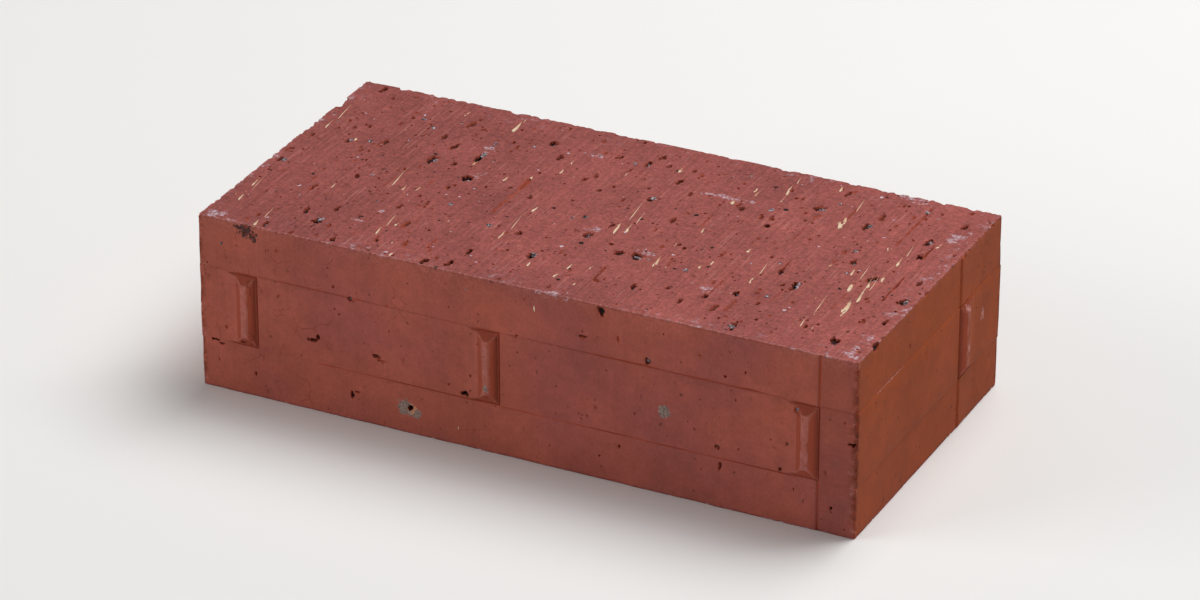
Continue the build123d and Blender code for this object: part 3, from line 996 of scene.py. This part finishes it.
def grog_clay(colours):
    """Crushed fired clay, cut by the wire: a cream head, and a thin tail mixed with the red clay."""
    material, surface = new_material("grog_crushed_fired_clay")
    tree = material.node_tree
    place = add(tree, "ShaderNodeTexCoord", out="Object")
    tail = add(tree, "ShaderNodeAttribute", out="Fac", attribute_name="tail")
    tone = add(tree, "ShaderNodeAttribute", out="Fac", attribute_name="tone")
    patches = add(tree, "ShaderNodeTexNoise", {"Vector": place, "Scale": cells(0.6), "Detail": 3.0})
    share = add(tree, "ShaderNodeMath", {0: tail, 1: 0.6, 2: tone}, operation="MULTIPLY_ADD")
    share = add(tree, "ShaderNodeMath", {0: share, 1: patches}, operation="ADD")
    share = add(tree, "ShaderNodeMapRange", {"Value": share, 1: 0.85, 2: 1.75, 3: 0.0, 4: 1.0})
    mixed = add(
        tree, "ShaderNodeMix", {0: share, 6: colours.grog, 7: colours.grog_tan}, out=2, data_type="RGBA"
    )
    tree.links.new(mixed, surface.inputs["Base Color"])
    surface.inputs["Roughness"].default_value = 0.85
    surface.inputs["Specular IOR Level"].default_value = 0.3
    return material


def melted_iron(colours):
    """Iron ore melted in the kiln: nearly black, with a grey skin in patches and glints on the cut top."""
    material, surface = new_material("iron_ore_melted")
    tree = material.node_tree
    place = add(tree, "ShaderNodeTexCoord", out="Object")
    tone = add(tree, "ShaderNodeAttribute", out="Fac", attribute_name="tone")
    skin = add(tree, "ShaderNodeTexNoise", {"Vector": place, "Scale": cells(1.0), "Detail": 3.0})
    grey = add(tree, "ShaderNodeMath", {0: tone, 1: 0.25, 2: skin}, operation="MULTIPLY_ADD")
    grey = add(tree, "ShaderNodeMapRange", {"Value": grey, 1: 0.56, 2: 0.68, 3: 0.0, 4: 0.9})
    # Painted glints: bright spots painted on the grains, mostly near the cut top
    glint = add(tree, "ShaderNodeTexNoise", {"Vector": place, "Scale": cells(0.7), "Detail": 2.0})
    glint = add(tree, "ShaderNodeMapRange", {"Value": glint, 1: 0.53, 2: 0.61, 3: 0.0, 4: 0.9})
    height = add(tree, "ShaderNodeSeparateXYZ", {0: place}, out="Z")
    top = PAVER_SIZE.z * MM
    cut = add(
        tree, "ShaderNodeMapRange", {"Value": height, 1: top - 3 * MM, 2: top - 2 * MM, 3: 0.15, 4: 1.0}
    )
    glint = add(tree, "ShaderNodeMath", {0: glint, 1: cut}, operation="MULTIPLY")
    iron = colours.iron
    for share, tint in ((grey, colours.iron_grey), (glint, colours.salts_and_glints)):
        iron = add(tree, "ShaderNodeMix", {0: share, 6: iron, 7: tint}, out=2, data_type="RGBA")
    tree.links.new(iron, surface.inputs["Base Color"])
    surface.inputs["Roughness"].default_value = 0.5
    bump = add(tree, "ShaderNodeBump", {"Height": skin, "Strength": 1.0, "Distance": 0.3 * MM})
    tree.links.new(bump, surface.inputs["Normal"])
    return material


GRAIN_INPUTS = {
    "Placed grains": "Geometry", "Clay": "Object", "Cut density": "Float", "Side density": "Float",
    "Seed": "Int", "Least length": "Float", "Most length": "Float", "Width share": "Float",
    "Height share": "Float", "Sink": "Float", "Ragged": "Float", "Tail": "Float", "Cut height": "Float",
    "Material": "Material",
}


def grain_tree(name):
    """Geometry nodes that scatter grains over the clay, add the placed ones, and set all into its surface."""
    tree = bpy.data.node_groups.new(name, "GeometryNodeTree")
    for label, kind in GRAIN_INPUTS.items():
        tree.interface.new_socket(label, in_out="INPUT", socket_type="NodeSocket" + kind)
    tree.interface.new_socket("Grains", in_out="OUTPUT", socket_type="NodeSocketGeometry")
    given = add(tree, "NodeGroupInput", out=None)
    clay = add(tree, "GeometryNodeObjectInfo", {"Object": given["Clay"]}, out="Geometry")

    facing = add(tree, "GeometryNodeInputNormal")
    steep = add(tree, "ShaderNodeSeparateXYZ", {0: facing}, out=None)
    level = add(tree, "ShaderNodeMath", {0: steep["Z"]}, operation="ABSOLUTE")
    long_side = add(tree, "ShaderNodeMath", {0: steep["Y"]}, operation="ABSOLUTE")
    long_side = add(tree, "ShaderNodeMapRange", {"Value": long_side, 1: 0.9, 2: 0.97})
    sides = add(tree, "ShaderNodeMath", {0: given["Side density"], 1: long_side}, operation="MULTIPLY")
    by_edge = add(tree, "GeometryNodeInputNamedAttribute", {"Name": "near_edge"}, data_type="FLOAT")
    inner = add(
        tree, "ShaderNodeMapRange", {"Value": by_edge, 1: 0.5, 2: 0.6, 3: given["Cut density"], 4: 0.0}
    )
    density = add(tree, "ShaderNodeMapRange", {"Value": level, 1: 0.85, 2: 0.97, 3: sides, 4: inner})
    spread = add(
        tree, "GeometryNodeDistributePointsOnFaces",
        {"Mesh": clay, "Density": density, "Seed": given["Seed"]}, out=None
    )
    chance = add(tree, "FunctionNodeRandomValue", {"Seed": given["Seed"]}, out=1, data_type="FLOAT")
    small = add(tree, "ShaderNodeMath", {0: chance, 1: 4.0}, operation="POWER")
    length = add(
        tree, "ShaderNodeMapRange", {"Value": small, 3: given["Least length"], 4: given["Most length"]}
    )
    vary = add(tree, "FunctionNodeRandomValue", {2: 0.7, 3: 1.3, "Seed": 7}, out=1, data_type="FLOAT")
    width = add(tree, "ShaderNodeMath", {0: length, 1: given["Width share"]}, operation="MULTIPLY")
    width = add(tree, "ShaderNodeMath", {0: width, 1: vary}, operation="MULTIPLY")
    height = add(tree, "ShaderNodeMath", {0: width, 1: given["Height share"]}, operation="MULTIPLY")
    size = add(tree, "ShaderNodeCombineXYZ", {0: width, 1: length, 2: height})
    points = spread["Points"]
    for label, value in (("grain_size", size), ("facing", spread["Normal"])):
        points = add(
            tree, "GeometryNodeStoreNamedAttribute", {"Geometry": points, "Name": label, "Value": value},
            data_type="FLOAT_VECTOR"
        )

    placed = add(tree, "GeometryNodeMeshToPoints", {"Mesh": given["Placed grains"]})
    both = add(tree, "GeometryNodeJoinGeometry", {0: points})
    tree.links.new(placed, both.node.inputs[0])

    size = add(tree, "GeometryNodeInputNamedAttribute", {"Name": "grain_size"}, data_type="FLOAT_VECTOR")
    facing = add(tree, "GeometryNodeInputNamedAttribute", {"Name": "facing"}, data_type="FLOAT_VECTOR")
    here = add(tree, "GeometryNodeInputPosition")
    lift = add(tree, "ShaderNodeVectorMath", {0: facing, "Scale": 3 * MM}, operation="SCALE")
    above = add(tree, "ShaderNodeVectorMath", {0: here, 1: lift}, operation="ADD")
    down = add(tree, "ShaderNodeVectorMath", {0: facing, "Scale": -1.0}, operation="SCALE")
    hit = add(
        tree, "GeometryNodeRaycast",
        {"Target Geometry": clay, "Source Position": above, "Ray Direction": down, "Ray Length": 8 * MM},
        out="Hit Position"
    )
    tall = add(tree, "ShaderNodeSeparateXYZ", {0: size}, out="Z")
    sunk = add(tree, "ShaderNodeMath", {0: tall, 1: given["Sink"]}, operation="MULTIPLY")
    sunk = add(tree, "ShaderNodeVectorMath", {0: down, "Scale": sunk}, operation="SCALE")
    seat = add(tree, "ShaderNodeVectorMath", {0: hit, 1: sunk}, operation="ADD")
    seated = add(tree, "GeometryNodeSetPosition", {"Geometry": both, "Position": seat})

    turn = add(tree, "FunctionNodeRandomValue", {2: -0.15, 3: 0.15, "Seed": 3}, out=1, data_type="FLOAT")
    turn = add(tree, "FunctionNodeAxisAngleToRotation", {"Axis": (0, 0, 1), "Angle": turn})
    flat = add(tree, "FunctionNodeAlignRotationToVector", {"Vector": facing}, axis="Z")
    turned = add(tree, "FunctionNodeRotateRotation", {0: flat, 1: turn}, rotation_space="LOCAL")
    oval = add(tree, "GeometryNodeMeshIcoSphere", {"Radius": 0.5, "Subdivisions": 2}, out="Mesh")
    part = add(tree, "ShaderNodeSeparateXYZ", {0: here}, out=None)
    narrow = add(tree, "ShaderNodeMapRange", {"Value": part["Y"], 1: -0.3, 2: 0.3, 3: 0.0, 4: 0.85})
    narrow = add(tree, "ShaderNodeMath", {0: narrow, 1: given["Tail"]}, operation="MULTIPLY")
    narrow = add(tree, "ShaderNodeMath", {0: 1.0, 1: narrow}, operation="SUBTRACT")
    slim = add(tree, "ShaderNodeMath", {0: part["X"], 1: narrow}, operation="MULTIPLY")
    shape = add(tree, "ShaderNodeCombineXYZ", {0: slim, 1: part["Y"], 2: part["Z"]})
    drawn = add(tree, "ShaderNodeMath", {0: part["Y"], 1: 0.5}, operation="ADD")
    oval = add(
        tree, "GeometryNodeStoreNamedAttribute", {"Geometry": oval, "Name": "tail", "Value": drawn},
        data_type="FLOAT"
    )
    oval = add(tree, "GeometryNodeSetPosition", {"Geometry": oval, "Position": shape})
    grains = add(
        tree, "GeometryNodeInstanceOnPoints",
        {"Points": seated, "Instance": oval, "Rotation": turned, "Scale": size}
    )
    tone = add(tree, "FunctionNodeRandomValue", {"Seed": 5}, out=1, data_type="FLOAT")
    grains = add(
        tree, "GeometryNodeStoreNamedAttribute", {"Geometry": grains, "Name": "tone", "Value": tone},
        data_type="FLOAT", domain="INSTANCE"
    )
    grains = add(tree, "GeometryNodeRealizeInstances", {"Geometry": grains})

    noise = add(tree, "ShaderNodeTexNoise", {"Scale": cells(0.9), "Detail": 2.0}, out="Color")
    push = add(tree, "ShaderNodeVectorMath", {0: noise, 1: (0.5, 0.5, 0.5)}, operation="SUBTRACT")
    across = add(tree, "ShaderNodeSeparateXYZ", {0: size}, out="X")
    amount = add(tree, "ShaderNodeMath", {0: across, 1: given["Ragged"]}, operation="MULTIPLY")
    push = add(tree, "ShaderNodeVectorMath", {0: push, "Scale": amount}, operation="SCALE")
    grains = add(tree, "GeometryNodeSetPosition", {"Geometry": grains, "Offset": push})
    level = add(tree, "ShaderNodeClamp", {"Value": part["Z"], "Min": 0.0, "Max": given["Cut height"]})
    cut = add(tree, "ShaderNodeCombineXYZ", {0: part["X"], 1: part["Y"], 2: level})
    grains = add(tree, "GeometryNodeSetPosition", {"Geometry": grains, "Position": cut})
    grains = add(tree, "GeometryNodeSetShadeSmooth", {"Geometry": grains})
    grains = add(tree, "GeometryNodeSetMaterial", {"Geometry": grains, "Material": given["Material"]})
    add(tree, "NodeGroupOutput", {"Grains": grains}, out=None)
    return tree


def set_grains(name, placed, inputs):
    """Makes one piece of all the grains of a kind: the placed ones, and the ones that its nodes scatter."""
    mesh = bpy.data.meshes.new(name)
    mesh.from_pydata([Vector(grain[0]) * MM for grain in placed], [], [])
    for label, part, scale in (("facing", 1, 1), ("grain_size", 2, MM)):
        values = np.array([grain[part] for grain in placed], dtype=np.float32) * scale
        mesh.attributes.new(label, "FLOAT_VECTOR", "POINT").data.foreach_set("vector", values.ravel())
    seeded = linked(name + "_points", mesh)
    tree = grain_tree(name)
    modifier = seeded.modifiers.new("Grains", "NODES")
    modifier.node_group = tree
    for socket in tree.interface.items_tree:
        if socket.in_out == "INPUT" and socket.name in inputs:
            modifier[socket.identifier] = inputs[socket.name]
    piece = linked(name, applied(seeded, name))
    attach(piece, "root")


class PAVER_OT_body(bpy.types.Operator):
    """Builds the fired clay body, with its pressed sides, lugs, pits and chipped edges"""

    bl_idname = "paver.body"
    bl_label = "Fired Clay Body"

    def execute(self, context):
        size = millimetres(context.scene.paver_sizes)
        points, faces = dense_paver(size, context.scene.paver_grains)
        dense = linked("paver_dense", mesh_of("paver_dense", points, faces))
        thin = dense.modifiers.new("Thin", "DECIMATE")
        thin.ratio = TRIANGLE_LIMIT / (2 * len(faces))
        mesh = applied(dense, "paver_body")
        kept = read_vectors(mesh.vertices, "co") / MM
        for name, values in point_masks(kept, size).items():
            mesh.attributes.new(name, "FLOAT", "POINT").data.foreach_set("value", values.astype(np.float32))
        centres = read_vectors(mesh.polygons, "center") / MM
        for name, values in face_masks(centres, read_vectors(mesh.polygons, "normal"), size).items():
            mesh.attributes.new(name, "FLOAT", "FACE").data.foreach_set("value", values.astype(np.float32))
        lay_bake_charts(mesh, kept, size)
        mesh.shade_smooth()
        mesh.set_sharp_from_angle(angle=math.radians(38))
        mesh.materials.append(fired_clay(context.scene.paver_colours))
        piece = linked("paver_body", mesh)
        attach(piece, "root")
        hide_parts("paver")
        return {"FINISHED"}


class PAVER_OT_grog(bpy.types.Operator):
    """Sets cream chips of crushed fired clay into the surface, cut flat and drawn out by the wire"""

    bl_idname = "paver.grog"
    bl_label = "Grog Chips"

    def execute(self, context):
        grains = context.scene.paver_grains
        colours = context.scene.paver_colours
        top = context.scene.paver_sizes.thickness / MM
        up = (0, 0, 1)
        placed = [((x, y, top), up, (0.8 * width, 1.2 * length, 0.5)) for x, y, length, width in GROG_ON_TOP]
        # A long chip leaves a thin trail, which ends before the edge
        for x, y, length, width in GROG_ON_TOP:
            trail = min(2.2 * length, 48 - y - 0.5 * length)
            if length > 4 and trail > 3:
                placed.append(((x, y + 0.5 * (length + trail), top), up, (0.4, trail, 0.3)))
        set_grains("grog_chips", placed, {
            "Clay": bpy.data.objects["paver_body"],
            "Cut density": grains.grog_density,
            "Side density": 400.0,
            "Seed": grains.seed + 1,
            "Least length": 0.5 * MM,
            "Most length": 5.0 * MM,
            "Width share": 0.25,
            "Height share": 0.35,
            "Sink": 0.25,
            "Ragged": 0.9,
            "Tail": 1.0,
            "Cut height": top * MM,
            "Material": grog_clay(colours),
        })
        return {"FINISHED"}


class PAVER_OT_iron(bpy.types.Operator):
    """Sets dark melted grains of iron ore into the pits that they left in the clay"""

    bl_idname = "paver.iron"
    bl_label = "Iron Grains"

    def execute(self, context):
        grains = context.scene.paver_grains
        colours = context.scene.paver_colours
        sizes = context.scene.paver_sizes
        top = sizes.thickness / MM
        front = -sizes.body_width / 2 / MM
        placed = [((x, y, top), (0, 0, 1), (0.7 * width, 1.1 * run, 1.2)) for x, y, width, run in IRON_ON_TOP]
        placed += [((x, front, z), (0, -1, 0), (width, width, 0.3 * width)) for x, z, width in IRON_IN_FRONT]
        set_grains("iron_grains", placed, {
            "Clay": bpy.data.objects["paver_body"],
            "Cut density": grains.iron_density,
            "Side density": 700.0,
            "Seed": grains.seed + 2,
            "Least length": 0.35 * MM,
            "Most length": 2.2 * MM,
            "Width share": 0.8,
            "Height share": 0.5,
            "Sink": 0.2,
            "Ragged": 0.9,
            "Tail": 0.0,
            "Cut height": (top - 0.02) * MM,
            "Material": melted_iron(colours),
        })
        return {"FINISHED"}


class PAVER_OT_stage(bpy.types.Operator):
    """Sets up the plain floor, the soft lamps and the camera"""

    bl_idname = "paver.stage"
    bl_label = "Stage"

    def execute(self, context):
        scene = context.scene
        settings = scene.paver_stage
        middle = Vector((0, 0, scene.paver_sizes.thickness / 2))

        mesh = bpy.data.meshes.new("floor")
        half = 6.0
        corners = [(-half, -half, 0), (half, -half, 0), (half, half, 0), (-half, half, 0)]
        mesh.from_pydata(corners, [], [(0, 1, 2, 3)])
        material, paint = new_material("matt_floor_paint")
        paint.inputs["Base Color"].default_value = scene.paver_colours.floor
        paint.inputs["Roughness"].default_value = 0.9
        paint.inputs["Specular IOR Level"].default_value = 0.1
        mesh.materials.append(material)
        linked("floor", mesh)

        lamps = (
            ("key", settings.key_power, 1.1, Vector((0.40, 0.62, 1.45))),
            ("fill", settings.fill_power, 1.2, Vector((-1.35, -1.0, 0.45))),
        )
        for name, power, side, place in lamps:
            light = bpy.data.lights.new(name, "AREA")
            light.energy = power
            light.size = side
            lamp = bpy.data.objects.new(name, light)
            lamp.location = place
            lamp.rotation_euler = (middle - place).to_track_quat("-Z", "Y").to_euler()
            scene.collection.objects.link(lamp)

        world = bpy.data.worlds.new("studio")
        world.use_nodes = True
        background = world.node_tree.nodes["Background"]
        background.inputs["Color"].default_value = (1, 1, 1, 1)
        background.inputs["Strength"].default_value = settings.sky
        scene.world = world

        camera = bpy.data.cameras.new("camera")
        camera.lens = settings.lens
        camera.sensor_width = 36
        viewer = bpy.data.objects.new("camera", camera)
        flat = math.cos(settings.elevation)
        back = Vector((
            flat * math.sin(settings.azimuth),
            -flat * math.cos(settings.azimuth),
            math.sin(settings.elevation),
        ))
        viewer.location = middle + back * settings.distance
        viewer.rotation_euler = (-back).to_track_quat("-Z", "Y").to_euler()
        scene.collection.objects.link(viewer)
        scene.camera = viewer
        scene.view_settings.view_transform = "Standard"
        return {"FINISHED"}


class PAVER_PT_panel(bpy.types.Panel):
    """Lists the steps and the values of the paver"""

    bl_label = "Lugged Clay Paver"
    bl_idname = "PAVER_PT_panel"
    bl_space_type = "VIEW_3D"
    bl_region_type = "UI"
    bl_category = "Paver"

    def draw(self, context):
        for operator in OPERATORS:
            self.layout.operator(operator.bl_idname)
        for group in GROUPS:
            values = getattr(context.scene, group)
            box = self.layout.box()
            for name in values.__annotations__:
                box.prop(values, name)


OPERATORS = (PAVER_OT_body, PAVER_OT_grog, PAVER_OT_iron, PAVER_OT_stage)
GROUPS = {
    "paver_sizes": PaverSizes,
    "paver_colours": PaverColours,
    "paver_grains": PaverGrains,
    "paver_stage": PaverStage,
}


def register():
    """Adds the classes, and the values to the scene."""
    for name, group in GROUPS.items():
        bpy.utils.register_class(group)
        setattr(bpy.types.Scene, name, bpy.props.PointerProperty(type=group))
    for operator in OPERATORS:
        bpy.utils.register_class(operator)
    bpy.utils.register_class(PAVER_PT_panel)


def unregister():
    """Takes away what register added."""
    bpy.utils.unregister_class(PAVER_PT_panel)
    for operator in reversed(OPERATORS):
        bpy.utils.unregister_class(operator)
    for name, group in reversed(GROUPS.items()):
        delattr(bpy.types.Scene, name)
        bpy.utils.unregister_class(group)


def main():
    register()
    bpy.ops.paver.body()
    bpy.ops.paver.grog()
    bpy.ops.paver.iron()
    bpy.ops.paver.stage()


if __name__ == "__main__":
    main()
